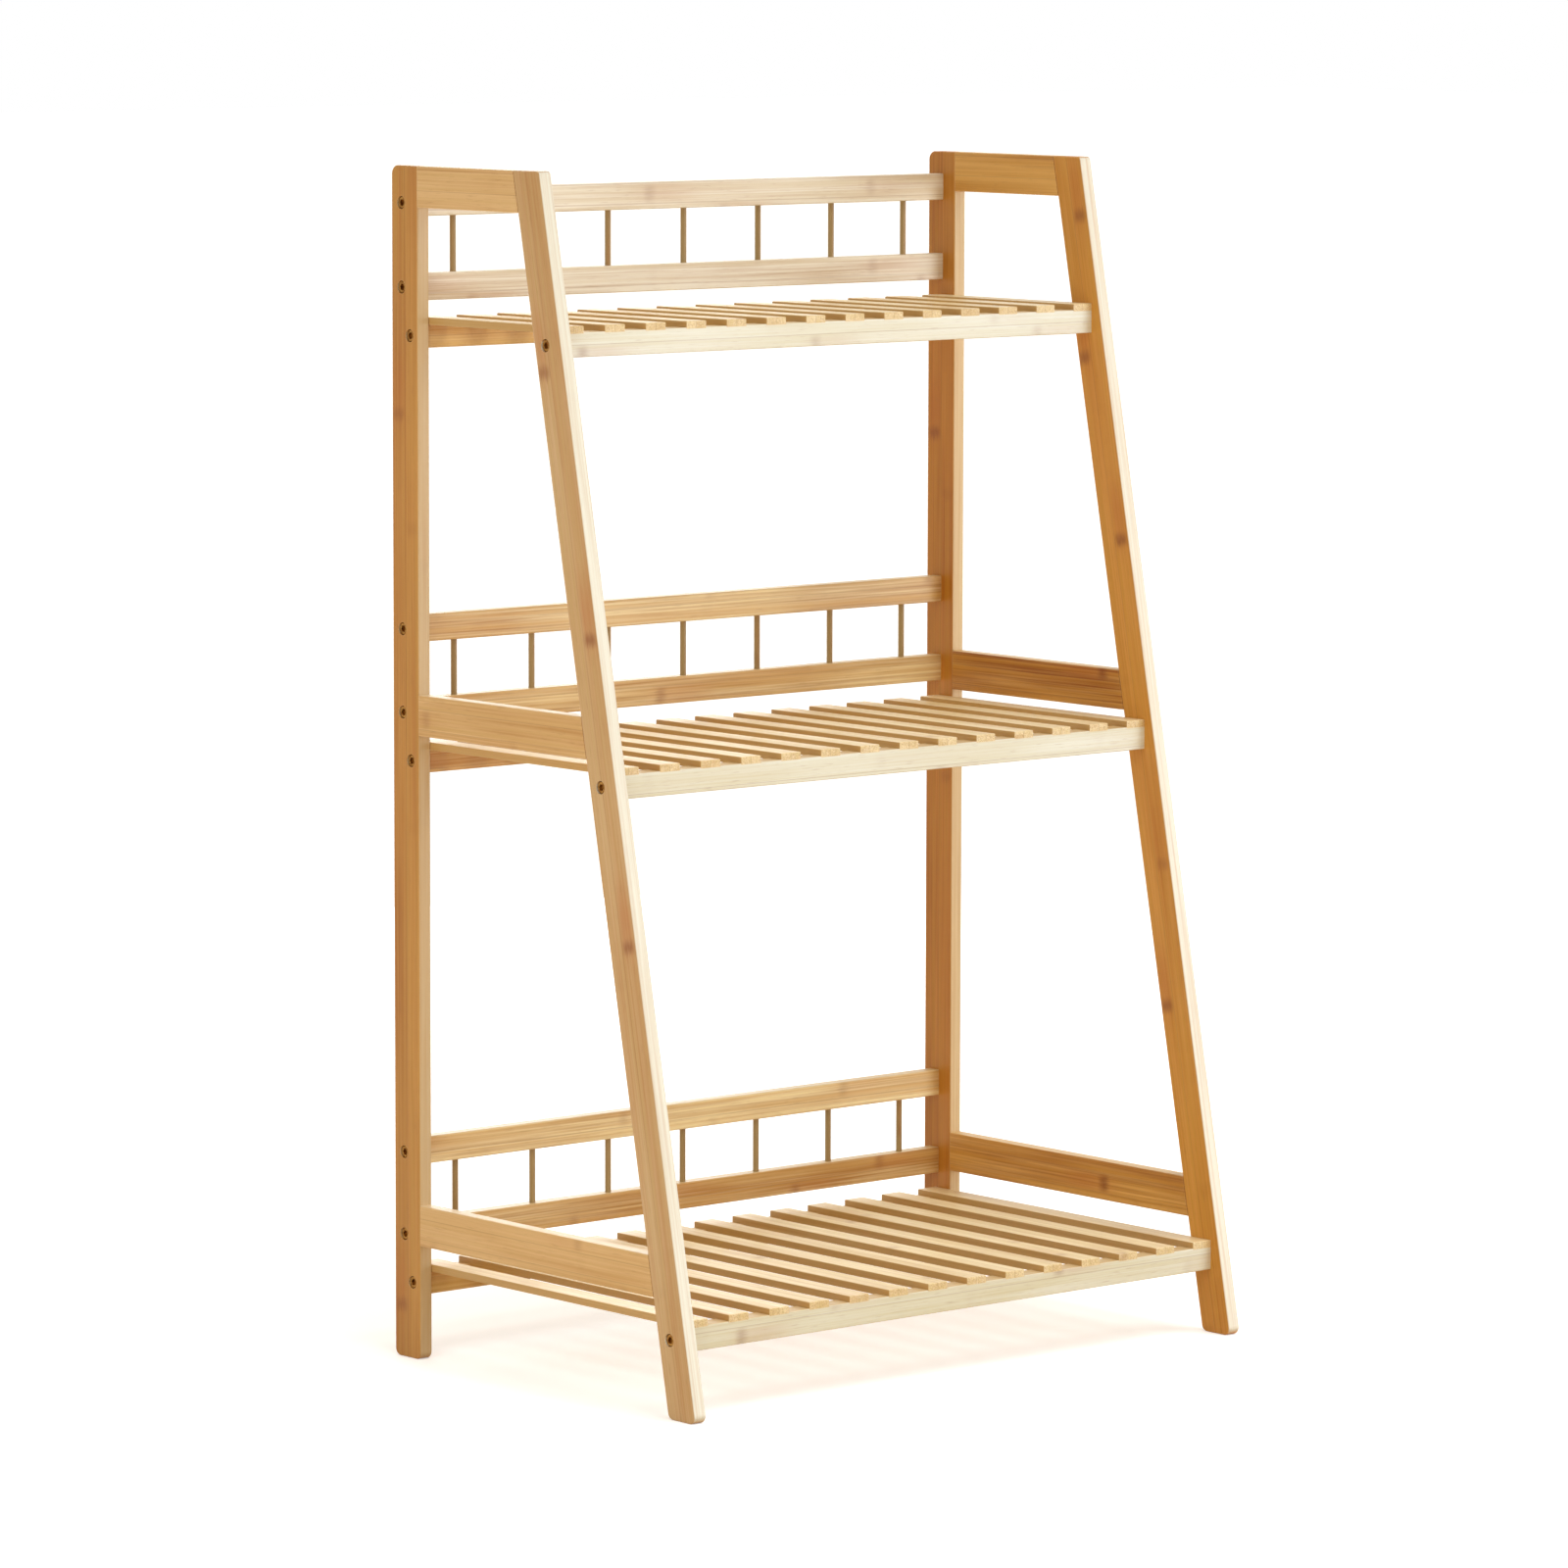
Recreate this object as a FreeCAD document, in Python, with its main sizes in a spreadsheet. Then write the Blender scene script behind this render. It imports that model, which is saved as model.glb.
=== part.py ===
"""Three-tier plant stand of laminated bamboo bars.

Two side frames, each an upright rear post and a leaning front leg joined by three dowelled rails, carry
three slatted shelves and three back guards with thin spindles. Sunk socket-head screws pull the rails of
the shelves and guards against the frames.

X runs to the right seen from the front, Y to the back and Z up. The origin is on the floor, in the middle
of the stand's footprint. Left-hand pieces are drawn and right-hand ones are their mirror images.
"""
import FreeCAD, Part
import math
import os
import re
import Sketcher
from FreeCAD import Vector

# Sizes in millimetres, and counts
SIZES = {
    # whole stand
    "stand_height": 960,
    "inner_width": 560,
    "floor_depth": 378,
    "head_depth": 187,
    # side frames
    "frame_thickness": 12,
    "post_width": 33,
    "leg_width": 32,
    "side_rail_height": 33,
    "lower_side_rail_base": 93,
    "foot_round": 6,
    "post_head_round": 7,
    "leg_head_round": 3,
    "frame_edge_round": 1.2,
    # dowels between the bars of a side frame
    "dowel_diameter": 6,
    "dowel_reach": 12.5,
    "dowel_spread": 17,
    "dowel_bevel": 0.8,
    "dowel_play": 0.05,
    "dowel_end_room": 1,
    # shelves
    "top_shelf_drop": 120,
    "lower_shelf_top": 77,
    "shelf_rail_height": 19.5,
    "shelf_rail_thickness": 16,
    "shelf_rail_edge_round": 0.8,
    "front_rail_setback": 11,
    "rear_rail_setback": 15,
    "slat_count": 14,
    "slat_width": 20,
    "slat_thickness": 6,
    "slat_edge_round": 0.8,
    "housing_depth": 1,
    "housing_play": 0.1,
    # back guards
    "guard_lift": 12.5,
    "guard_gap": 45,
    "guard_setback": 6.5,
    "guard_rail_height": 22,
    "guard_rail_thickness": 12,
    "guard_edge_round": 1,
    "spindle_count": 7,
    "spindle_diameter": 5,
    "spindle_seat": 8,
    "spindle_play": 0.1,
    "spindle_end_room": 0.5,
    # socket-head screws
    "screw_length": 45,
    "screw_head_diameter": 9.8,
    "screw_head_length": 4,
    "screw_head_bevel": 0.5,
    "screw_shank_diameter": 5,
    "screw_tip_length": 5,
    "screw_sink": 1,
    "screw_play": 0.1,
    "socket_width": 5,
    "socket_depth": 2.4,
    "counterbore_play": 0.3,
    "pilot_end_room": 1,
    # run of a cut past the face it leaves by
    "cut_overrun": 1,
}

# Heights in the middle of the stand, as shares of its height
HEIGHT_SHARES = {
    "middle_shelf_share": 0.521,
    "middle_side_rail_share": 0.527,
}
NAMED = SIZES | HEIGHT_SHARES

X = Vector(1, 0, 0)
Y = Vector(0, 1, 0)
Z = Vector(0, 0, 1)
# two directions are taken as the same within this angle, in radians
SAME_WAY = 0.04

TIERS = ("top", "middle", "lower")
GUARD_ROWS = ("upper", "lower")

# Places along Y, measured backwards from the toe of the leg
LEAN = "((floor_depth - head_depth) / stand_height)"
LEG_BREADTH = f"(leg_width * sqrt(1 + {LEAN} ^ 2))"
POST_FRONT = "(floor_depth - post_width)"
REAR_RAIL_FACE = "(floor_depth - rear_rail_setback - shelf_rail_thickness)"
GUARD_FACE = "(floor_depth - guard_setback - guard_rail_thickness)"

# The toe's own place, which centres the stand with the toe rounded, and the outer face of the left frame
TOE_LOSS = f"(foot_round * ({LEAN} + sqrt(1 + {LEAN} ^ 2) - 1))"
TOE = f"(-(floor_depth + {TOE_LOSS}) / 2)"
OUTER_FACE = "(-inner_width / 2 - frame_thickness)"

SIDE_RAIL_BASE = {
    "top": "(stand_height - side_rail_height)",
    "middle": "(middle_side_rail_share * stand_height)",
    "lower": "lower_side_rail_base",
}
SHELF_TOP = {
    "top": "(stand_height - top_shelf_drop)",
    "middle": "(middle_shelf_share * stand_height)",
    "lower": "lower_shelf_top",
}
SLAT_PITCH = "((inner_width - slat_width) / (slat_count - 1))"
SPINDLE_PITCH = "(inner_width / spindle_count)"
PILOT_DEPTH = "(screw_sink + screw_length + pilot_end_room - frame_thickness)"
SCREW_BORE = "(screw_shank_diameter + 2 * screw_play)"
DOWEL_BORE = "(dowel_diameter + 2 * dowel_play)"
DOWEL_DEPTH = "(dowel_reach + dowel_end_room)"


def leg_front(level):
    """Front edge of the leaning leg at a height."""
    return f"({LEAN} * ({level}))"


def leg_back(level):
    """Back edge of the leaning leg at a height."""
    return f"({leg_front(level)} + {LEG_BREADTH})"


def side_rail_middle(tier):
    return f"({SIDE_RAIL_BASE[tier]} + side_rail_height / 2)"


def dowel_levels(tier):
    middle = side_rail_middle(tier)
    return f"({middle} - dowel_spread / 2)", f"({middle} + dowel_spread / 2)"


def shelf_rail_base(tier):
    return f"({SHELF_TOP[tier]} - slat_thickness + housing_depth - shelf_rail_height)"


def shelf_rail_middle(tier):
    return f"({shelf_rail_base(tier)} + shelf_rail_height / 2)"


def front_rail_face(tier):
    """Front of a shelf, set back from the leg's front edge at the height of its rail."""
    return f"({leg_front(shelf_rail_middle(tier))} + front_rail_setback)"


def guard_base(tier, row):
    base = f"({SHELF_TOP[tier]} + guard_lift)"
    if row == "upper":
        return f"({base} + guard_rail_height + guard_gap)"
    return base


def post_screw_places():
    """Backward place and height of each screw through a rear post."""
    places = []
    for tier in TIERS:
        for row in GUARD_ROWS:
            level = f"{guard_base(tier, row)} + guard_rail_height / 2"
            places.append((f"{GUARD_FACE} + guard_rail_thickness / 2", level))
        places.append((f"{REAR_RAIL_FACE} + shelf_rail_thickness / 2", shelf_rail_middle(tier)))
    return places


def leg_screw_places():
    """Backward place and height of each screw through a front leg."""
    places = []
    for tier in TIERS:
        places.append((f"{front_rail_face(tier)} + shelf_rail_thickness / 2", shelf_rail_middle(tier)))
    return places


doc = FreeCAD.newDocument("plant_stand")
sheet = doc.addObject("Spreadsheet::Sheet", "sizes")
for line, (alias, size) in enumerate(NAMED.items(), 1):
    sheet.set(f"A{line}", alias)
    sheet.set(f"B{line}", str(size))
    sheet.setAlias(f"B{line}", alias)
doc.recompute()

subparts = []


def formula(text):
    """An expression in which every size is read from the sheet."""
    return re.sub(r"[a-z_]+", lambda word: f"sizes.{word[0]}" if word[0] in NAMED else word[0], text)


def bind(feature, path, text):
    feature.setExpression(path, formula(text))


def place(feature, across, back, up):
    bind(feature, "Placement.Base.x", across)
    bind(feature, "Placement.Base.y", back)
    bind(feature, "Placement.Base.z", up)


def keep(feature, name):
    """Names a finished piece and lists it for writing."""
    feature.Label = name
    subparts.append(feature)
    return feature


def origin(body, role):
    return next(feature for feature in body.Origin.OriginFeatures if feature.Role == role)


def new_sketch(body, plane, offset="0"):
    sketch = body.newObject("Sketcher::SketchObject", "outline")
    sketch.AttachmentSupport = [(origin(body, plane), "")]
    sketch.MapMode = "FlatFace"
    bind(sketch, "AttachmentOffset.Base.z", offset)
    return sketch


def pin_point(sketch, item, point, start, across, up):
    """Fixes a point of a sketch by its two distances from the sketch's origin."""
    for kind, value, text in (("DistanceX", start.x, across), ("DistanceY", start.y, up)):
        label = f"{kind}_{item}"
        index = sketch.addConstraint(Sketcher.Constraint(kind, -1, 1, item, point, value))
        sketch.renameConstraint(index, label)
        bind(sketch, f"Constraints.{label}", text)


def draw_polygon(sketch, corners):
    """A closed outline, begun as a unit polygon and pulled to its corners by the constraints."""
    count = len(corners)
    turns = [2 * math.pi * number / count for number in range(count)]
    starts = [Vector(math.cos(turn), math.sin(turn), 0) for turn in turns]
    for number in range(count):
        sketch.addGeometry(Part.LineSegment(starts[number], starts[(number + 1) % count]))
    for number in range(count):
        sketch.addConstraint(Sketcher.Constraint("Coincident", number, 2, (number + 1) % count, 1))
    for number, (across, up) in enumerate(corners):
        pin_point(sketch, number, 1, starts[number], across, up)


def draw_circles(sketch, centres, diameter):
    for number, (across, up) in enumerate(centres):
        start = Vector(number, 1, 0)
        circle = Part.Circle(start, Z, 1)
        sketch.addGeometry(circle)
        pin_point(sketch, number, 3, start, across, up)
        index = sketch.addConstraint(Sketcher.Constraint("Diameter", number, 2 * circle.Radius))
        sketch.renameConstraint(index, f"bore_{number}")
        bind(sketch, f"Constraints.bore_{number}", diameter)


def pad(body, sketch, length, both_ways=False):
    feature = body.newObject("PartDesign::Pad", "pad")
    feature.Profile = sketch
    if both_ways:
        feature.SideType = "Symmetric"
    bind(feature, "Length", length)
    doc.recompute()
    return feature


def must_cut(feature):
    """Stops the build if a cut has taken nothing off the piece."""
    doc.recompute()
    if feature.Shape.Volume >= feature.BaseFeature.Shape.Volume:
        raise RuntimeError(f"{feature.Name} cuts nothing")
    return feature


def pocket(body, sketch, depth=None, reversed_way=False):
    """A cut to a depth, or right through where no depth is given."""
    feature = body.newObject("PartDesign::Pocket", "pocket")
    feature.Profile = sketch
    feature.Reversed = reversed_way
    if depth:
        bind(feature, "Length", depth)
    else:
        feature.Type = "ThroughAll"
    return must_cut(feature)


def row_along_x(body, feature, length, count):
    """Repeats a cut from the right-hand end of a rail to the left."""
    pattern = body.newObject("PartDesign::LinearPattern", "row")
    pattern.Originals = [feature]
    pattern.Direction = (origin(body, "X_Axis"), [""])
    pattern.Reversed = True
    bind(pattern, "Length", length)
    bind(pattern, "Occurrences", count)
    body.Tip = pattern
    doc.recompute()


def flat_faces(shape, way):
    flats = [face for face in shape.Faces if face.Surface.TypeId == "Part::GeomPlane"]
    return [face for face in flats if face.normalAt(0, 0).getAngle(way) < SAME_WAY]


def edges_along(faces, way):
    edges = [edge for face in faces for edge in face.Edges]
    turns = [edge.tangentAt(edge.FirstParameter).getAngle(way) for edge in edges]
    return [edge for edge, turn in zip(edges, turns) if min(turn, math.pi - turn) < SAME_WAY]


def treat_edges(body, kind, edges, path, size):
    """Rounds or bevels edges of the body's last feature."""
    base = body.Tip
    numbered = enumerate(base.Shape.Edges, 1)
    names = [f"Edge{number}" for number, edge in numbered if any(edge.isSame(other) for other in edges)]
    feature = body.newObject(kind, "edges")
    feature.Base = (base, names)
    bind(feature, path, size)
    doc.recompute()


def round_edges(body, edges, radius):
    treat_edges(body, "PartDesign::Fillet", edges, "Radius", radius)


def frame_body(name):
    """A body whose origin is at the toe of the leg, in the outer face of the left frame."""
    body = doc.addObject("PartDesign::Body", name)
    place(body, OUTER_FACE, TOE, "0")
    return keep(body, name)


def frame_bar(body, corners):
    """A bar of a side frame, cut from board of the frame's thickness."""
    outline = new_sketch(body, "YZ_Plane")
    draw_polygon(outline, corners)
    pad(body, outline, "frame_thickness")


def ease_frame_edges(body):
    """Rounds the edges round both broad faces of a frame bar."""
    shape = body.Tip.Shape
    broad = flat_faces(shape, X) + flat_faces(shape, -X)
    round_edges(body, [edge for face in broad for edge in face.Edges], "frame_edge_round")


def screw_holes(body, places):
    """Counterbored holes from the outer face of a frame bar."""
    centres = new_sketch(body, "YZ_Plane")
    draw_circles(centres, places, SCREW_BORE)
    doc.recompute()
    hole = body.newObject("PartDesign::Hole", "screw_holes")
    hole.Profile = centres
    doc.recompute()
    hole.Reversed = True
    hole.DepthType = "ThroughAll"
    bind(hole, "Diameter", SCREW_BORE)
    hole.HoleCutType = "Counterbore"
    bind(hole, "HoleCutDiameter", "screw_head_diameter + 2 * counterbore_play")
    bind(hole, "HoleCutDepth", "screw_sink + screw_head_length")
    must_cut(hole)


def dowel_holes(body, tier, floor, forwards=False):
    """A pair of dowel holes, drilled from their floor out through the end that they open in."""
    centres = new_sketch(body, "XZ_Plane", f"-({floor})")
    draw_circles(centres, [("frame_thickness / 2", level) for level in dowel_levels(tier)], DOWEL_BORE)
    pocket(body, centres, reversed_way=forwards)


def make_rear_post():
    body = frame_body("left_rear_post")
    frame_bar(body, [
        (POST_FRONT, "0"),
        ("floor_depth", "0"),
        ("floor_depth", "stand_height"),
        (POST_FRONT, "stand_height"),
    ])
    round_edges(body, edges_along(flat_faces(body.Tip.Shape, -Z), X), "foot_round")
    head_edges = edges_along(flat_faces(body.Tip.Shape, Z), X)
    round_edges(body, [max(head_edges, key=lambda edge: edge.CenterOfMass.y)], "post_head_round")
    ease_frame_edges(body)
    screw_holes(body, post_screw_places())
    centres = new_sketch(body, "XZ_Plane", f"-{POST_FRONT}")
    levels = [level for tier in TIERS for level in dowel_levels(tier)]
    draw_circles(centres, [("frame_thickness / 2", level) for level in levels], DOWEL_BORE)
    pocket(body, centres, DOWEL_DEPTH)
    return body


def make_front_leg():
    body = frame_body("left_front_leg")
    frame_bar(body, [
        ("0", "0"),
        (leg_back("0"), "0"),
        (leg_back("stand_height"), "stand_height"),
        (leg_front("stand_height"), "stand_height"),
    ])
    round_edges(body, edges_along(flat_faces(body.Tip.Shape, -Z), X), "foot_round")
    head_edges = edges_along(flat_faces(body.Tip.Shape, Z), X)
    round_edges(body, [min(head_edges, key=lambda edge: edge.CenterOfMass.y)], "leg_head_round")
    ease_frame_edges(body)
    screw_holes(body, leg_screw_places())
    for tier in TIERS:
        dowel_holes(body, tier, f"{leg_back(side_rail_middle(tier))} - {DOWEL_DEPTH}")
    return body


def make_side_rail(tier):
    """A rail between post and leg: square at the back, cut to the leg's lean at the front."""
    body = frame_body(f"left_{tier}_side_rail")
    base = SIDE_RAIL_BASE[tier]
    head = f"({base} + side_rail_height)"
    frame_bar(body, [
        (leg_back(base), base),
        (POST_FRONT, base),
        (POST_FRONT, head),
        (leg_back(head), head),
    ])
    shape = body.Tip.Shape
    round_edges(body, edges_along(flat_faces(shape, Z) + flat_faces(shape, -Z), Y), "frame_edge_round")
    dowel_holes(body, tier, f"{POST_FRONT} - {DOWEL_DEPTH}")
    dowel_holes(body, tier, f"{leg_back(side_rail_middle(tier))} + {DOWEL_DEPTH}", forwards=True)
    return body


def cross_rail(name, back, up, thickness, height, edge_round):
    """A rail from frame to frame, with a pilot hole for a screw in each end."""
    body = doc.addObject("PartDesign::Body", name)
    place(body, "0", f"{TOE} + {back}", up)
    section = new_sketch(body, "YZ_Plane")
    draw_polygon(section, [("0", "0"), (thickness, "0"), (thickness, height), ("0", height)])
    pad(body, section, "inner_width", both_ways=True)
    shape = body.Tip.Shape
    round_edges(body, edges_along(flat_faces(shape, Z) + flat_faces(shape, -Z), X), edge_round)
    centre = new_sketch(body, "YZ_Plane", f"inner_width / 2 - {PILOT_DEPTH}")
    draw_circles(centre, [(f"{thickness} / 2", f"{height} / 2")], SCREW_BORE)
    pilot = pocket(body, centre, reversed_way=True)
    pilots = body.newObject("PartDesign::Mirrored", "pilots")
    pilots.Originals = [pilot]
    pilots.MirrorPlane = (origin(body, "YZ_Plane"), [""])
    body.Tip = pilots
    doc.recompute()
    return keep(body, name)


def make_shelf_rail(tier, end):
    """A shelf's front or rear rail, housed across its top for the slats."""
    back = front_rail_face(tier) if end == "front" else REAR_RAIL_FACE
    body = cross_rail(f"{tier}_shelf_{end}_rail", back, shelf_rail_base(tier),
                      "shelf_rail_thickness", "shelf_rail_height", "shelf_rail_edge_round")
    near = "inner_width / 2 - slat_width - housing_play"
    far = "inner_width / 2 + housing_play"
    floor = "shelf_rail_height - housing_depth"
    mouth = "shelf_rail_height + cut_overrun"
    outline = new_sketch(body, "XZ_Plane")
    draw_polygon(outline, [(near, floor), (far, floor), (far, mouth), (near, mouth)])
    housing = pocket(body, outline)
    row_along_x(body, housing, "inner_width - slat_width", "slat_count")


def make_guard_rail(tier, row):
    """A guard rail, bored from the side that faces the other rail for the spindles."""
    body = cross_rail(f"{tier}_guard_{row}_rail", GUARD_FACE, guard_base(tier, row),
                      "guard_rail_thickness", "guard_rail_height", "guard_edge_round")
    mouth = "0" if row == "upper" else "guard_rail_height"
    centre = new_sketch(body, "XY_Plane", mouth)
    first = (f"(inner_width - {SPINDLE_PITCH}) / 2", "guard_rail_thickness / 2")
    draw_circles(centre, [first], "spindle_diameter + 2 * spindle_play")
    bore = pocket(body, centre, "spindle_seat", reversed_way=(row == "upper"))
    row_along_x(body, bore, f"inner_width - {SPINDLE_PITCH}", "spindle_count")


def make_spindles(tier):
    """Round spindles that stand in the bores of a guard's lower rail and reach into its upper one."""
    for number in range(sheet.spindle_count):
        name = f"{tier}_guard_spindle_{number + 1}"
        spindle = doc.addObject("Part::Cylinder", name)
        bind(spindle, "Radius", "spindle_diameter / 2")
        bind(spindle, "Height", "guard_gap + 2 * spindle_seat - spindle_end_room")
        place(spindle, f"({number} + 1 / 2) * {SPINDLE_PITCH} - inner_width / 2",
              f"{TOE} + {GUARD_FACE} + guard_rail_thickness / 2",
              f"{guard_base(tier, 'lower')} + guard_rail_height - spindle_seat")
        keep(spindle, name)


def copies(name, master, places):
    """One node of equal pieces, each set at its own place."""
    links = []
    for across, back, up in places:
        link = doc.addObject("App::Link", "copy")
        link.LinkedObject = master
        place(link, across, back, up)
        links.append(link)
    group = doc.addObject("Part::Compound", name)
    group.Links = links
    return keep(group, name)


def make_slats(tier):
    """A shelf's slats, from the front face of its front rail to the back of its rear rail."""
    slat = doc.addObject("PartDesign::Body", f"{tier}_slat")
    outline = new_sketch(slat, "XY_Plane")
    length = f"{REAR_RAIL_FACE} + shelf_rail_thickness - {front_rail_face(tier)}"
    draw_polygon(outline, [("0", "0"), ("slat_width", "0"), ("slat_width", length), ("0", length)])
    pad(slat, outline, "slat_thickness")
    top = flat_faces(slat.Tip.Shape, Z)
    round_edges(slat, [edge for face in top for edge in face.Edges], "slat_edge_round")
    front = f"{TOE} + {front_rail_face(tier)}"
    level = f"{SHELF_TOP[tier]} - slat_thickness"
    sides = [f"{number} * {SLAT_PITCH} - inner_width / 2" for number in range(sheet.slat_count)]
    copies(f"{tier}_shelf_slats", slat, [(side, front, level) for side in sides])


def make_dowels():
    """The dowels of a side frame, each half in a rail and half in the post or the leg."""
    dowel = doc.addObject("PartDesign::Body", "dowel")
    circle = new_sketch(dowel, "XZ_Plane")
    draw_circles(circle, [("0", "0")], "dowel_diameter")
    pad(dowel, circle, "2 * dowel_reach", both_ways=True)
    shape = dowel.Tip.Shape
    ends = [edge for face in flat_faces(shape, Y) + flat_faces(shape, -Y) for edge in face.Edges]
    treat_edges(dowel, "PartDesign::Chamfer", ends, "Size", "dowel_bevel")
    places = []
    for tier in TIERS:
        for joint in (POST_FRONT, leg_back(side_rail_middle(tier))):
            for level in dowel_levels(tier):
                places.append((f"{OUTER_FACE} + frame_thickness / 2", f"{TOE} + {joint}", level))
    return copies("left_frame_dowels", dowel, places)


def make_screws():
    """The screws of a side frame: a turned screw with a hexagon socket in its head."""
    screw = doc.addObject("PartDesign::Body", "screw")
    profile = new_sketch(screw, "XY_Plane")
    draw_polygon(profile, [
        ("0", "0"),
        ("screw_length", "0"),
        ("screw_length - screw_tip_length", "screw_shank_diameter / 2"),
        ("screw_head_length", "screw_shank_diameter / 2"),
        ("screw_head_length", "screw_head_diameter / 2"),
        ("screw_head_bevel", "screw_head_diameter / 2"),
        ("0", "screw_head_diameter / 2 - screw_head_bevel"),
    ])
    turned = screw.newObject("PartDesign::Revolution", "turned")
    turned.Profile = profile
    turned.ReferenceAxis = (profile, ["H_Axis"])
    doc.recompute()
    socket = new_sketch(screw, "YZ_Plane")
    corner = "(socket_width / sqrt(3))"
    draw_polygon(socket, [
        (corner, "0"),
        (f"{corner} / 2", "socket_width / 2"),
        (f"-{corner} / 2", "socket_width / 2"),
        (f"-{corner}", "0"),
        (f"-{corner} / 2", "-socket_width / 2"),
        (f"{corner} / 2", "-socket_width / 2"),
    ])
    pocket(screw, socket, "socket_depth", reversed_way=True)
    places = [(f"{OUTER_FACE} + screw_sink", f"{TOE} + {back}", level)
              for back, level in post_screw_places() + leg_screw_places()]
    return copies("left_frame_screws", screw, places)


def make_right_twin(source):
    name = source.Label.replace("left", "right")
    twin = doc.addObject("Part::Mirroring", name)
    twin.Source = source
    twin.Normal = X
    keep(twin, name)


left_pieces = [make_rear_post(), make_front_leg()]
left_pieces += [make_side_rail(tier) for tier in TIERS]
left_pieces += [make_dowels(), make_screws()]
for piece in left_pieces:
    make_right_twin(piece)
for tier in TIERS:
    make_shelf_rail(tier, "front")
    make_shelf_rail(tier, "rear")
    make_slats(tier)
    for row in GUARD_ROWS:
        make_guard_rail(tier, row)
    make_spindles(tier)
doc.recompute()

for feature in doc.Objects:
    if "Invalid" in feature.State or "Error" in feature.State:
        raise RuntimeError(f"{feature.Label} failed: {feature.State}")
for subpart in subparts:
    if subpart.Shape.isNull() or not subpart.Shape.isValid():
        raise RuntimeError(f"{subpart.Label} has no valid shape")

os.makedirs("parts", exist_ok=True)
for subpart in subparts:
    subpart.Shape.exportStep(f"parts/{subpart.Label}.step")
print(f"{len(subparts)} nodes, {sum(len(subpart.Shape.Solids) for subpart in subparts)} solids")
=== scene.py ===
import math
import bpy
from mathutils import Matrix, Vector


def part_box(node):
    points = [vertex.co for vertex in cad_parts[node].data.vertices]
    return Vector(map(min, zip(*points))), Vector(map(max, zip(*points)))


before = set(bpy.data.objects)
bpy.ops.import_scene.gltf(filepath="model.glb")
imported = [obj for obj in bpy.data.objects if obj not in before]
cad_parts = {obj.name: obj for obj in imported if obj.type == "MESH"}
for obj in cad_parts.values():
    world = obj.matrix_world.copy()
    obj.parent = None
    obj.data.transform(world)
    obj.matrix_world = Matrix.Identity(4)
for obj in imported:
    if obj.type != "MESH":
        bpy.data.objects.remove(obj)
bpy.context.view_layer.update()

MM_PER_M = 1000

# Sizes of the stand that the grain follows, in millimetres, and the legs' lean from upright, in radians
STAND_HEIGHT = 960
FLOOR_DEPTH = 378
HEAD_DEPTH = 187
INNER_WIDTH = 560
SLAT_WIDTH = 20
SLAT_COUNT = 14
SLAT_PITCH = (INNER_WIDTH - SLAT_WIDTH) / (SLAT_COUNT - 1)
LEG_LEAN = math.atan2(FLOOR_DEPTH - HEAD_DEPTH, STAND_HEIGHT)


def linear(code):
    """An sRGB hex colour as linear RGBA."""
    shares = [int(code[start:start + 2], 16) / 255 for start in (1, 3, 5)]
    return [share / 12.92 if share <= 0.04045 else ((share + 0.055) / 1.055) ** 2.4 for share in shares] + [1]


def add(tree, kind, sockets=None, **settings):
    """Adds a node with its settings, and gives each of its sockets a value or a link."""
    node = tree.nodes.new(kind)
    for name, value in settings.items():
        setattr(node, name, value)
    for socket, value in (sockets or {}).items():
        if isinstance(value, bpy.types.NodeSocket):
            tree.links.new(value, node.inputs[socket])
        else:
            node.inputs[socket].default_value = value
    return node


def new_material(name):
    """An empty material, its tree and its shader."""
    material = bpy.data.materials.new(name)
    material.use_nodes = True
    tree = material.node_tree
    tree.nodes.clear()
    shader = add(tree, "ShaderNodeBsdfPrincipled")
    add(tree, "ShaderNodeOutputMaterial", {"Surface": shader.outputs["BSDF"]})
    return material, tree, shader


# Laminated bamboo under satin lacquer: strips split from the culm, planed, glued side by side and in layers.
# The eye sees straight strips of slightly different honey tones, thin glue lines between them, fine darker
# fibres along the grain, rosy and golden clouds, and at times a soft brown patch where the culm had a knot.

# Strips, in millimetres: two to a post, a leg or a slat, and wider than a spindle
STRIP_WIDTH = 16.5
LEG_STRIP = 16
SLAT_STRIP = SLAT_PITCH / 4
SPINDLE_STRIP = 8
STRIP_LAYER = 6
PLANED = 0.7
GLUE_LINE = 0.5
# Marks of the grain, in millimetres
KNOT_SPACING = 240
KNOT_PATCH = 9
KNOT_BLUSH = 48
FIBRE_WIDTH = 1.6
FIBRE_LENGTH = 140
FLECK_WIDTH = 0.9
FLECK_LENGTH = 14
STREAK_WIDTH = 4
STREAK_LENGTH = 420
CLOUD_WIDTH = 26
CLOUD_LENGTH = 210
END_PORE = 1.1
EDGE_WEAR = 1.5
GRAIN_RELIEF = 0.4
# How much of its own brown a strong knot shows, and how far it stands up against the fibres
KNOT_COVER = 0.75
KNOT_RELIEF = 0.6
# Colours of the marks, the same on every bar
FLECK_TONE = linear("#93602f")
BLUSH_TONE = linear("#b65e1e")
KNOT_TONE = linear("#84420e")
GLUE_TONE = linear("#8a5c30")
PORE_TONE = linear("#94622f")
WORN_TONE = linear("#eed7ab")


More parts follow.
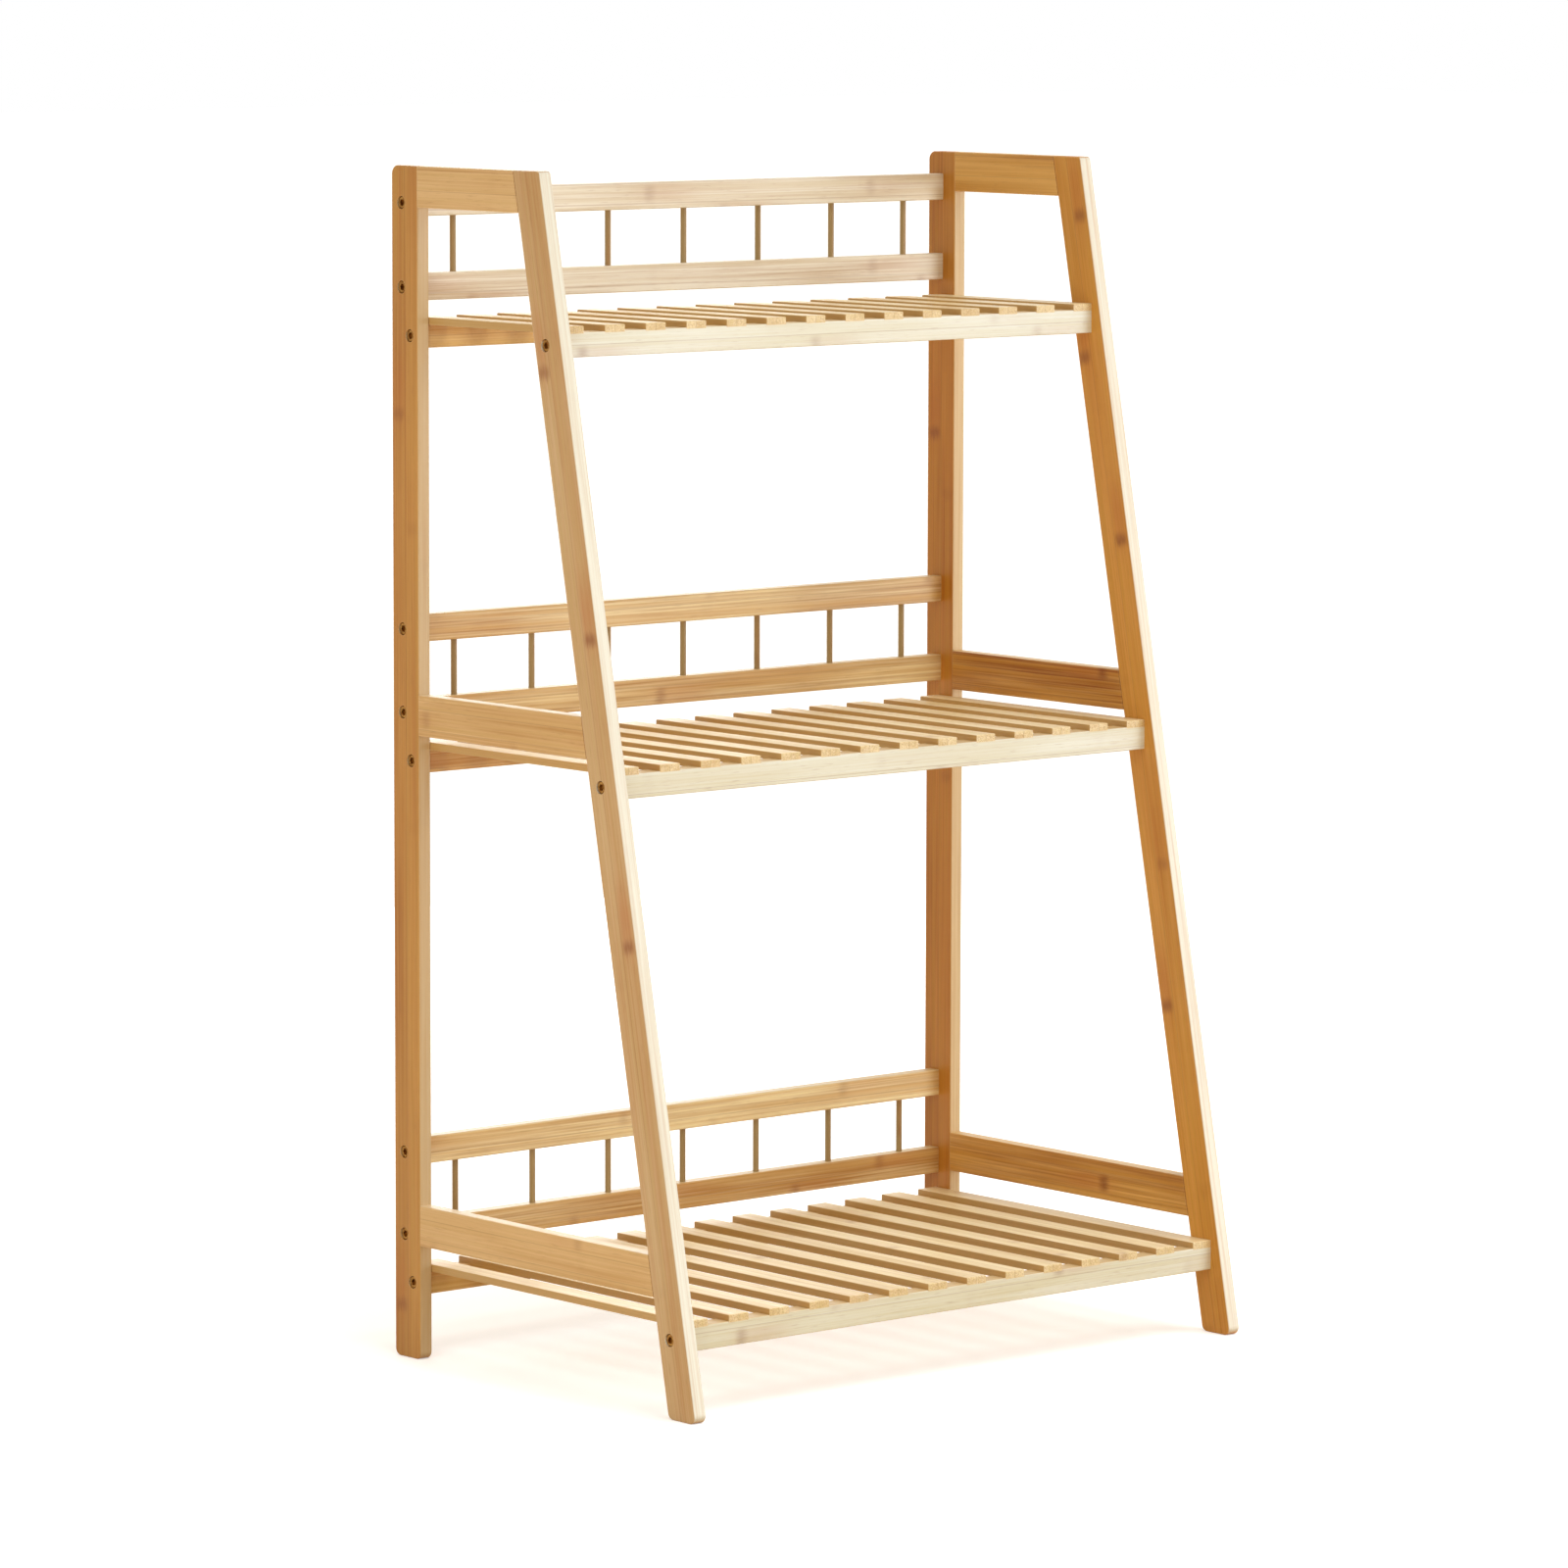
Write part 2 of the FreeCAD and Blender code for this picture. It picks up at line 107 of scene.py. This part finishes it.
def laminated_bamboo(name, tones, along, across, layer, turn=0, start=0, strip=STRIP_WIDTH, seed=0,
                     knot_share=1, knot_spacing=KNOT_SPACING):
    """Bamboo whose grain runs along one axis, turned about X where the bar leans.

    The strips lie side by side across, from start in mm, and in layers. The seed sets their tones and knots,
    and knot_share is how strong the strongest knots are.
    """
    material, tree, shader = new_material(name)
    pale, deep, gold, rose, painted_side_tone = [linear(code) for code in tones]
    place = add(tree, "ShaderNodeTexCoord")
    scaled = add(tree, "ShaderNodeMapping", {
        "Vector": place.outputs["Object"],
        "Rotation": (turn, 0, 0),
        "Scale": (MM_PER_M, MM_PER_M, MM_PER_M),
    })
    axes = add(tree, "ShaderNodeSeparateXYZ", {"Vector": scaled.outputs["Vector"]})
    run, side, depth = axes.outputs[along], axes.outputs[across], axes.outputs[layer]

    # which strip a point is on, as random numbers that stay the same all over the strip
    from_start = add(tree, "ShaderNodeMath", {0: side, 1: start}, operation="SUBTRACT")
    strips = add(tree, "ShaderNodeMath", {0: from_start.outputs[0], 1: strip}, operation="DIVIDE")
    # the outer layers are planed a little, so that no face lies just between two layers
    planed = add(tree, "ShaderNodeMath", {0: depth, 1: PLANED}, operation="ADD")
    layers = add(tree, "ShaderNodeMath", {0: planed.outputs[0], 1: STRIP_LAYER}, operation="DIVIDE")
    strip_number = add(tree, "ShaderNodeMath", {0: strips.outputs[0]}, operation="FLOOR")
    layer_number = add(tree, "ShaderNodeMath", {0: layers.outputs[0]}, operation="FLOOR")
    strip_key = add(tree, "ShaderNodeCombineXYZ", {
        "X": strip_number.outputs[0], "Y": layer_number.outputs[0], "Z": seed,
    })
    strip_random = add(tree, "ShaderNodeTexWhiteNoise", {"Vector": strip_key.outputs[0]})
    strip_shares = add(tree, "ShaderNodeSeparateColor", {"Color": strip_random.outputs["Color"]})
    # 0 at a strip's edges and 0.5 in its middle
    strip_turn = add(tree, "ShaderNodeMath", {0: strips.outputs[0], 1: 0.5}, operation="PINGPONG")

    def drawn_out(length, width, detail):
        """Noise that is drawn out along the grain and differs from bar to bar."""
        lengthwise = add(tree, "ShaderNodeMath", {0: run, 1: length}, operation="DIVIDE")
        sideways = add(tree, "ShaderNodeMath", {0: side, 1: width}, operation="DIVIDE")
        inward = add(tree, "ShaderNodeMath", {0: depth, 1: width}, operation="DIVIDE")
        spot = add(tree, "ShaderNodeCombineXYZ", {
            "X": lengthwise.outputs[0], "Y": sideways.outputs[0], "Z": inward.outputs[0],
        })
        return add(tree, "ShaderNodeTexNoise", {
            "Vector": spot.outputs[0], "W": seed, "Scale": 1, "Detail": detail,
        }, noise_dimensions="4D").outputs["Fac"]

    # real fibres are about 0.3 mm wide, too fine to show, so they are drawn wider
    fibre = drawn_out(FIBRE_LENGTH, FIBRE_WIDTH, 2)
    fleck = drawn_out(FLECK_LENGTH, FLECK_WIDTH, 1)
    streak = drawn_out(STREAK_LENGTH, STREAK_WIDTH, 1)
    cloud = drawn_out(CLOUD_LENGTH, CLOUD_WIDTH, 2)
    flush = drawn_out(CLOUD_LENGTH, STRIP_WIDTH, 1)

    # distance along the grain from the strip's nearest knot, made ragged by the flecks
    knots = add(tree, "ShaderNodeMath", {0: run, 1: knot_spacing}, operation="DIVIDE")
    knots_shifted = add(tree, "ShaderNodeMath", {0: knots.outputs[0], 1: strip_shares.outputs["Green"]},
                        operation="ADD")
    knot_turn = add(tree, "ShaderNodeMath", {0: knots_shifted.outputs[0]}, operation="FRACT")
    knot_away = add(tree, "ShaderNodeMath", {0: knot_turn.outputs[0], 1: 0.5}, operation="SUBTRACT")
    knot_signed = add(tree, "ShaderNodeMath", {0: knot_away.outputs[0], 1: knot_spacing},
                      operation="MULTIPLY")
    knot_rag = add(tree, "ShaderNodeMath", {0: fleck, 1: KNOT_PATCH, 2: knot_signed.outputs[0]},
                   operation="MULTIPLY_ADD")
    knot_far = add(tree, "ShaderNodeMath", {0: knot_rag.outputs[0]}, operation="ABSOLUTE")
    # most knots are faint and a few are strong, and all fade to the strip's edges
    knot_number = add(tree, "ShaderNodeMath", {0: knots_shifted.outputs[0]}, operation="FLOOR")
    knot_key = add(tree, "ShaderNodeCombineXYZ", {
        "X": strip_random.outputs["Value"], "Y": knot_number.outputs[0], "Z": seed,
    })
    knot_random = add(tree, "ShaderNodeTexWhiteNoise", {"Vector": knot_key.outputs[0]})
    knot_strength = add(tree, "ShaderNodeMapRange", {
        "Value": knot_random.outputs["Value"],
        "From Min": 0.3, "From Max": 1, "To Min": 0.05, "To Max": knot_share,
    })
    knot_inside = add(tree, "ShaderNodeMapRange", {
        "Value": strip_turn.outputs[0], "From Min": 0, "From Max": 0.3, "To Min": 0.3, "To Max": 1,
    }, interpolation_type="SMOOTHSTEP")
    knot_middle = add(tree, "ShaderNodeMath", {0: knot_strength.outputs[0], 1: knot_inside.outputs[0]},
                      operation="MULTIPLY")
    knot_near = add(tree, "ShaderNodeMapRange", {
        "Value": knot_far.outputs[0], "From Min": 0, "From Max": KNOT_PATCH, "To Min": 1, "To Max": 0,
    }, interpolation_type="SMOOTHSTEP")
    knot = add(tree, "ShaderNodeMath", {0: knot_near.outputs[0], 1: knot_middle.outputs[0]},
               operation="MULTIPLY")
    # the blush lies mostly to one side of its knot
    blush_centre = add(tree, "ShaderNodeMath", {0: knot_signed.outputs[0], 1: KNOT_BLUSH / 3},
                       operation="SUBTRACT")
    blush_far = add(tree, "ShaderNodeMath", {0: blush_centre.outputs[0]}, operation="ABSOLUTE")
    blush_near = add(tree, "ShaderNodeMapRange", {
        "Value": blush_far.outputs[0], "From Min": 0, "From Max": KNOT_BLUSH, "To Min": 0.4, "To Max": 0,
    }, interpolation_type="SMOOTHSTEP")
    blush = add(tree, "ShaderNodeMath", {0: blush_near.outputs[0], 1: knot_middle.outputs[0]},
                operation="MULTIPLY")

    # honey tone of the strip, clouded, with golden streaks and rosy patches
    tone_strip = add(tree, "ShaderNodeMapRange", {
        "Value": strip_shares.outputs["Red"], "To Min": 0.1, "To Max": 0.6,
    })
    tone_cloud = add(tree, "ShaderNodeMapRange", {
        "Value": cloud, "From Min": 0.3, "From Max": 0.7, "To Min": -0.35, "To Max": 0.4,
    })
    tone_fibre = add(tree, "ShaderNodeMapRange", {
        "Value": fibre, "From Min": 0.3, "From Max": 0.7, "To Min": -0.3, "To Max": 0.38,
    })
    tone_soft = add(tree, "ShaderNodeMath", {0: tone_strip.outputs[0], 1: tone_cloud.outputs[0]},
                    operation="ADD")
    tone = add(tree, "ShaderNodeMath", {0: tone_soft.outputs[0], 1: tone_fibre.outputs[0]}, operation="ADD",
               use_clamp=True)
    toned = add(tree, "ShaderNodeMix", {"Factor": tone.outputs[0], "A": pale, "B": deep}, data_type="RGBA")
    gold_share = add(tree, "ShaderNodeMapRange", {
        "Value": streak, "From Min": 0.42, "From Max": 0.66, "To Min": 0, "To Max": 0.6,
    })
    golden = add(tree, "ShaderNodeMix", {
        "Factor": gold_share.outputs[0], "A": toned.outputs["Result"], "B": gold,
    }, data_type="RGBA")
    rose_share = add(tree, "ShaderNodeMapRange", {
        "Value": flush, "From Min": 0.45, "From Max": 0.7, "To Min": 0, "To Max": 0.25,
    })
    honey = add(tree, "ShaderNodeMix", {
        "Factor": rose_share.outputs[0], "A": golden.outputs["Result"], "B": rose,
    }, data_type="RGBA")

    # flecks where the fibre bundles come to the surface
    fleck_mask = add(tree, "ShaderNodeMapRange", {
        "Value": fleck, "From Min": 0.6, "From Max": 0.78, "To Min": 0, "To Max": 0.25,
    })
    flecked = add(tree, "ShaderNodeMix", {
        "Factor": fleck_mask.outputs[0], "A": honey.outputs["Result"], "B": FLECK_TONE,
    }, data_type="RGBA")

    # knots and the warm blush beside them
    blushed = add(tree, "ShaderNodeMix", {
        "Factor": blush.outputs[0], "A": flecked.outputs["Result"], "B": BLUSH_TONE,
    }, data_type="RGBA")
    knot_mask = add(tree, "ShaderNodeMath", {0: knot.outputs[0], 1: KNOT_COVER}, operation="MULTIPLY")
    knotted = add(tree, "ShaderNodeMix", {
        "Factor": knot_mask.outputs[0], "A": blushed.outputs["Result"], "B": KNOT_TONE,
    }, data_type="RGBA")

    # glue lines between strips
    glue = add(tree, "ShaderNodeMapRange", {
        "Value": strip_turn.outputs[0],
        "From Min": 0, "From Max": GLUE_LINE / strip, "To Min": 0.35, "To Max": 0,
    })
    glued = add(tree, "ShaderNodeMix", {
        "Factor": glue.outputs[0], "A": knotted.outputs["Result"], "B": GLUE_TONE,
    }, data_type="RGBA")

    # end grain: the cut fibre bundles show as close dark pores
    facing = add(tree, "ShaderNodeMapping", {
        "Vector": place.outputs["Normal"], "Rotation": (turn, 0, 0),
    }, vector_type="NORMAL")
    facing_axes = add(tree, "ShaderNodeSeparateXYZ", {"Vector": facing.outputs[0]})
    facing_end = add(tree, "ShaderNodeMath", {0: facing_axes.outputs[along]}, operation="ABSOLUTE")
    end_mask = add(tree, "ShaderNodeMapRange", {
        "Value": facing_end.outputs[0], "From Min": 0.8, "From Max": 0.95, "To Min": 0, "To Max": 1,
    })
    pores = add(tree, "ShaderNodeTexVoronoi", {"Vector": scaled.outputs["Vector"], "Scale": 1 / END_PORE})
    pore_mask = add(tree, "ShaderNodeMapRange", {
        "Value": pores.outputs["Distance"],
        "From Min": 0.15, "From Max": 0.5, "To Min": 0.45, "To Max": 0.05,
    })
    end_share = add(tree, "ShaderNodeMath", {0: end_mask.outputs[0], 1: pore_mask.outputs[0]},
                    operation="MULTIPLY")
    ended = add(tree, "ShaderNodeMix", {
        "Factor": end_share.outputs[0], "A": glued.outputs["Result"], "B": PORE_TONE,
    }, data_type="RGBA")

    # faces turned across the strips take the side tone, with the fibres faintly through it. The side tone is
    # painted light: paler on the faces that took the light, such as the fronts of posts and legs, and darker
    # as painted shade on the slats' sides and the front rails' tops
    facing_side = add(tree, "ShaderNodeMath", {0: facing_axes.outputs[across]}, operation="ABSOLUTE")
    side_mask = add(tree, "ShaderNodeMapRange", {
        "Value": facing_side.outputs[0], "From Min": 0.5, "From Max": 0.95, "To Min": 0, "To Max": 0.9,
    })
    side_fibre = add(tree, "ShaderNodeMapRange", {
        "Value": fibre, "From Min": 0.4, "From Max": 0.7, "To Min": 1, "To Max": 0.7,
    })
    painted_side_share = add(tree, "ShaderNodeMath", {0: side_mask.outputs[0], 1: side_fibre.outputs[0]},
                     operation="MULTIPLY")
    side_painted = add(tree, "ShaderNodeMix", {
        "Factor": painted_side_share.outputs[0], "A": ended.outputs["Result"], "B": painted_side_tone,
    }, data_type="RGBA")

    # eased edges, sanded through to paler wood
    eased = add(tree, "ShaderNodeBevel", {"Radius": EDGE_WEAR / MM_PER_M}, samples=4)
    surface = add(tree, "ShaderNodeNewGeometry")
    edge_turn = add(tree, "ShaderNodeVectorMath", {0: eased.outputs[0], 1: surface.outputs["Normal"]},
                    operation="DOT_PRODUCT")
    edge_mask = add(tree, "ShaderNodeMapRange", {
        "Value": edge_turn.outputs["Value"], "From Min": 0.8, "From Max": 0.99, "To Min": 0.4, "To Max": 0,
    })
    edge_share = add(tree, "ShaderNodeMath", {0: edge_mask.outputs[0], 1: fibre}, operation="MULTIPLY")
    worn = add(tree, "ShaderNodeMix", {
        "Factor": edge_share.outputs[0], "A": side_painted.outputs["Result"], "B": WORN_TONE,
    }, data_type="RGBA")
    tree.links.new(worn.outputs["Result"], shader.inputs["Base Color"])

    # satin lacquer: even gloss, a little duller on fibres
    gloss = add(tree, "ShaderNodeMapRange", {
        "Value": fibre, "From Min": 0.3, "From Max": 0.7, "To Min": 0.36, "To Max": 0.48,
    })
    tree.links.new(gloss.outputs[0], shader.inputs["Roughness"])
    shader.inputs["IOR"].default_value = 1.5
    shader.inputs["Specular IOR Level"].default_value = 0.3
    shader.inputs["Coat Weight"].default_value = 0.1
    shader.inputs["Coat Roughness"].default_value = 0.25
    height = add(tree, "ShaderNodeMath", {0: knot.outputs[0], 1: KNOT_RELIEF, 2: fibre},
                 operation="MULTIPLY_ADD")
    grain = add(tree, "ShaderNodeBump", {
        "Height": height.outputs[0], "Strength": 0.12, "Distance": GRAIN_RELIEF / MM_PER_M,
    })
    tree.links.new(grain.outputs[0], shader.inputs["Normal"])
    return material


# Ray flecks of the beech and dulled patches of the steel, in millimetres
RAY_WIDTH = 0.8
RAY_LENGTH = 5
DULL_PATCH = 2


def beech(name):
    """Turned beech: pink-brown with short dark ray flecks along the dowel."""
    material, tree, shader = new_material(name)
    place = add(tree, "ShaderNodeTexCoord")
    rays = add(tree, "ShaderNodeMapping", {
        "Vector": place.outputs["Object"],
        "Scale": (MM_PER_M / RAY_WIDTH, MM_PER_M / RAY_LENGTH, MM_PER_M / RAY_WIDTH),
    })
    flecks = add(tree, "ShaderNodeTexNoise", {"Vector": rays.outputs[0], "Scale": 1, "Detail": 2})
    tone = add(tree, "ShaderNodeMapRange", {
        "Value": flecks.outputs["Fac"], "From Min": 0.4, "From Max": 0.7,
    })
    colour = add(tree, "ShaderNodeMix", {
        "Factor": tone.outputs[0], "A": linear("#d6b48c"), "B": linear("#b88a5c"),
    }, data_type="RGBA")
    tree.links.new(colour.outputs["Result"], shader.inputs["Base Color"])
    shader.inputs["Roughness"].default_value = 0.6
    return material


def bronzed_steel(name):
    """Bronzed steel of the screws: dark brown metal, scuffed brighter by the key and dulled in patches."""
    material, tree, shader = new_material(name)
    place = add(tree, "ShaderNodeTexCoord")
    patches = add(tree, "ShaderNodeTexNoise", {
        "Vector": place.outputs["Object"], "Scale": MM_PER_M / DULL_PATCH, "Detail": 3,
    })
    scuff = add(tree, "ShaderNodeMapRange", {
        "Value": patches.outputs["Fac"], "From Min": 0.35, "From Max": 0.7,
    })
    colour = add(tree, "ShaderNodeMix", {
        "Factor": scuff.outputs[0], "A": linear("#80521f"), "B": linear("#b08444"),
    }, data_type="RGBA")
    tree.links.new(colour.outputs["Result"], shader.inputs["Base Color"])
    dull = add(tree, "ShaderNodeMapRange", {"Value": patches.outputs["Fac"], "To Min": 0.55, "To Max": 0.4})
    tree.links.new(dull.outputs[0], shader.inputs["Roughness"])
    shader.inputs["Metallic"].default_value = 1
    return material


def low_corner(node):
    """The low corner of a node's box, in millimetres."""
    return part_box(node)[0] * MM_PER_M


# Tones of the bars, which differ from board to board: pale, deep, golden, rosy, and the side tone of the
# faces turned across the strips, which is painted light. Part of the bars' differences is painted light too:
# the right-hand bars are deeper and more orange as painted shade on the frame's inner faces, and the front
# rails and the top guard are near white as a painted highlight
LEFT_POST = ("#c9944a", "#a96b26", "#c29446", "#c2843c", "#ccb48c")
LEFT_LEG = ("#d3b48b", "#be905b", "#c8aa75", "#c89c6a", "#eef0e6")
LEFT_RAIL = ("#e4c08c", "#c29458", "#d6b276", "#d2a66a", "#e8d0a8")
# Right-hand bars: deeper and more orange than the left, painted shade on the frame's inner faces
RIGHT_POST = ("#ce8e3c", "#ac6818", "#c48c32", "#c27c2a", "#dcc498")
RIGHT_LEG = ("#dea451", "#c07e25", "#d39d42", "#d3923d", "#eef0e6")
RIGHT_RAIL = ("#eaba6c", "#985406", "#ca9036", "#bc7824", "#dcba80")
# Front rails: near white, a painted highlight on their fronts
FRONT_RAIL = ("#eef0e8", "#d8d0ae", "#e4e2d0", "#e2dac8", "#cca868")
REAR_RAIL = ("#dcb878", "#b27a36", "#cca456", "#c08a48", "#d8b880")
SLAT = ("#f6e4ba", "#d4b47a", "#e4ce94", "#dec28a", "#bf9658")
# Top guard: near white, a painted highlight
TOP_GUARD = ("#f0eadc", "#b89468", "#d8c8a8", "#d2bea0", "#d8caae")
GUARD = ("#f8e4b2", "#ae7836", "#d4a85e", "#cc9a54", "#d8be8a")
SPINDLE = ("#ac9468", "#8c6e42", "#a28858", "#9c8052", "#ac9468")

# How the grain lies in the bars. In posts and legs the first strip starts at the front edge, in millimetres
POST_START = low_corner("left_rear_post").y - PLANED
LEG_START = -(FLOOR_DEPTH / 2) * math.cos(LEG_LEAN)
POST_GRAIN = {"along": "Z", "across": "Y", "layer": "X", "start": POST_START}
LEG_GRAIN = {
    "along": "Z", "across": "Y", "layer": "X", "turn": LEG_LEAN, "start": LEG_START, "strip": LEG_STRIP,
}
SIDE_RAIL_GRAIN = {"along": "Y", "across": "Z", "layer": "X"}
LONG_RAIL_GRAIN = {"along": "X", "across": "Z", "layer": "Y"}
SLAT_GRAIN = {"along": "Y", "across": "X", "layer": "Z", "strip": SLAT_STRIP}
SPINDLE_GRAIN = {"along": "Z", "across": "X", "layer": "Y", "strip": SPINDLE_STRIP}

# Each node takes the first finish whose words are all in its name. The seeds were tried until the plainest
# knots and the palest and deepest strips fell about where the photograph shows them
GUARD_SEED = 124322
FINISHES = {
    ("left", "rear_post"): laminated_bamboo("bamboo_left_post", LEFT_POST, **POST_GRAIN, seed=12),
    ("left", "front_leg"): laminated_bamboo("bamboo_left_leg", LEFT_LEG, **LEG_GRAIN, seed=137689),
    ("left", "side_rail"): laminated_bamboo(
        "bamboo_left_rail", LEFT_RAIL, **SIDE_RAIL_GRAIN, seed=339700, knot_share=0.5),
    ("right", "rear_post"): laminated_bamboo("bamboo_right_post", RIGHT_POST, **POST_GRAIN, seed=7),
    ("right", "front_leg"): laminated_bamboo(
        "bamboo_right_leg", RIGHT_LEG, **LEG_GRAIN, seed=267444, knot_spacing=270),
    ("right", "side_rail"): laminated_bamboo("bamboo_right_rail", RIGHT_RAIL, **SIDE_RAIL_GRAIN, seed=71332),
    ("shelf", "front_rail"): laminated_bamboo(
        "bamboo_front_rail", FRONT_RAIL, **LONG_RAIL_GRAIN, seed=322982, knot_share=0.5),
    ("shelf", "rear_rail"): laminated_bamboo("bamboo_rear_rail", REAR_RAIL, **LONG_RAIL_GRAIN, seed=5),
    ("shelf", "slats"): laminated_bamboo("bamboo_slat", SLAT, **SLAT_GRAIN, seed=245961, knot_share=0.4),
    ("top_guard", "rail"): laminated_bamboo(
        "bamboo_top_guard_rail", TOP_GUARD, **LONG_RAIL_GRAIN, seed=GUARD_SEED, knot_share=0.4),
    ("guard", "rail"): laminated_bamboo(
        "bamboo_guard_rail", GUARD, **LONG_RAIL_GRAIN, seed=GUARD_SEED, knot_share=0.6),
    ("guard", "spindle"): laminated_bamboo("bamboo_spindle", SPINDLE, **SPINDLE_GRAIN, seed=6),
    ("frame", "dowels"): beech("beech_dowel"),
    ("frame", "screws"): bronzed_steel("bronzed_steel"),
}
for node_name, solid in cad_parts.items():
    finish = next(finish for words, finish in FINISHES.items() if all(word in node_name for word in words))
    for slot in solid.material_slots:
        slot.material = finish


# Floor, light and camera. Places, aims and sizes are in metres, and a lamp's energy is in watts, or in watts
# per square metre for the sun
FLOOR_SIZE = 60
FLOOR_GLOW = 0.4
# The photograph's camera, fitted to the edges of the stand: lens and sensor in millimetres, turns in degrees
CAMERA_LENS = 173.555
CAMERA_SENSOR = 36
CAMERA_PLACE = (-3.97643, -4.58782, 1.16809)
CAMERA_HEADING = -40.6248
CAMERA_DIP = 6.6532
CAMERA_ROLL = 0.1428


def seen_rays(tree):
    """1 for rays that show the background, straight or in a reflection, and 0 for light that falls."""
    ray = add(tree, "ShaderNodeLightPath")
    shown = add(tree, "ShaderNodeMath", {0: ray.outputs["Is Camera Ray"], 1: ray.outputs["Is Glossy Ray"]},
                operation="MAXIMUM")
    return add(tree, "ShaderNodeMath", {0: shown.outputs[0], 1: ray.outputs["Is Transmission Ray"]},
               operation="MAXIMUM").outputs[0]


def make_floor():
    """A white floor that throws back the warm light of a wooden one and keeps a pale shadow."""
    bpy.ops.mesh.primitive_plane_add(size=FLOOR_SIZE)
    floor = bpy.context.object
    floor.name = "floor"
    material, tree, shader = new_material("white_floor")
    seen = seen_rays(tree)
    colour = add(tree, "ShaderNodeMix", {
        "Factor": seen, "A": linear("#d6bf92"), "B": linear("#f4f4f4"),
    }, data_type="RGBA")
    tree.links.new(colour.outputs["Result"], shader.inputs["Base Color"])
    glow = add(tree, "ShaderNodeMath", {0: seen, 1: FLOOR_GLOW}, operation="MULTIPLY")
    tree.links.new(glow.outputs[0], shader.inputs["Emission Strength"])
    shader.inputs["Emission Color"].default_value = linear("#ffffff")
    shader.inputs["Roughness"].default_value = 0.9
    shader.inputs["Specular IOR Level"].default_value = 0
    floor.data.materials.append(material)


def make_world():
    """A white backdrop, and round it the slightly warm light of a room."""
    world = bpy.data.worlds.new("studio")
    world.use_nodes = True
    tree = world.node_tree
    tree.nodes.clear()
    room = add(tree, "ShaderNodeBackground", {"Color": linear("#fff3de"), "Strength": 0.46})
    backdrop = add(tree, "ShaderNodeBackground", {"Color": linear("#ffffff"), "Strength": 1})
    either = add(tree, "ShaderNodeMixShader", {
        0: seen_rays(tree), 1: room.outputs[0], 2: backdrop.outputs[0],
    })
    add(tree, "ShaderNodeOutputWorld", {"Surface": either.outputs[0]})
    bpy.context.scene.world = world


def make_lamp(name, kind, place, aim, energy, **settings):
    """A lamp at a place, turned to its aim, that lights the stand but isn't seen itself."""
    lamp = bpy.data.lights.new(name, kind)
    lamp.energy = energy
    for setting, value in settings.items():
        setattr(lamp, setting, value)
    lamp_object = bpy.data.objects.new(name, lamp)
    lamp_object.location = place
    lamp_object.rotation_euler = (Vector(place) - Vector(aim)).to_track_quat("Z", "Y").to_euler()
    lamp_object.visible_camera = False
    bpy.context.scene.collection.objects.link(lamp_object)
    return lamp_object


def make_lamps():
    """A window at the front right and its sheen, soft light from above, and fills at the left and behind."""
    make_lamp("window", "AREA", place=(1.9, -2.2, 0.6), aim=(0, 0, 0.4), energy=29,
              shape="RECTANGLE", size=1.8, size_y=2.2, color=linear("#eef4ff")[:3])
    sheen = make_lamp("sheen", "AREA", place=(2.3, -2.7, 0.4), aim=(0, 0, 0.4), energy=60,
                      shape="RECTANGLE", size=3, size_y=3)
    sheen.visible_diffuse = False
    make_lamp("ceiling", "SUN", place=(0.3, -1, 2.6), aim=(0, 0, 0.5), energy=1.55, angle=math.radians(40))
    make_lamp("fill", "AREA", place=(-1.35, -0.4, 0.5), aim=(-0.28, 0, 0.4), energy=6.5,
              shape="RECTANGLE", size=0.8, size_y=1.6)
    make_lamp("rear_fill", "AREA", place=(0.8, 2.4, 0.9), aim=(0, 0, 0.5), energy=30,
              shape="RECTANGLE", size=2, size_y=2)


def make_camera():
    """The camera, turned from looking straight down: rolled, dipped from level and set to its heading."""
    lens = bpy.data.cameras.new("camera")
    lens.lens = CAMERA_LENS
    lens.sensor_width = CAMERA_SENSOR
    camera = bpy.data.objects.new("camera", lens)
    heading = Matrix.Rotation(math.radians(CAMERA_HEADING), 4, "Z")
    dip = Matrix.Rotation(math.radians(90 - CAMERA_DIP), 4, "X")
    roll = Matrix.Rotation(math.radians(CAMERA_ROLL), 4, "Z")
    camera.matrix_world = Matrix.Translation(CAMERA_PLACE) @ heading @ dip @ roll
    bpy.context.scene.collection.objects.link(camera)
    bpy.context.scene.camera = camera


make_floor()
make_world()
make_lamps()
make_camera()
bpy.context.scene.view_settings.view_transform = "Standard"
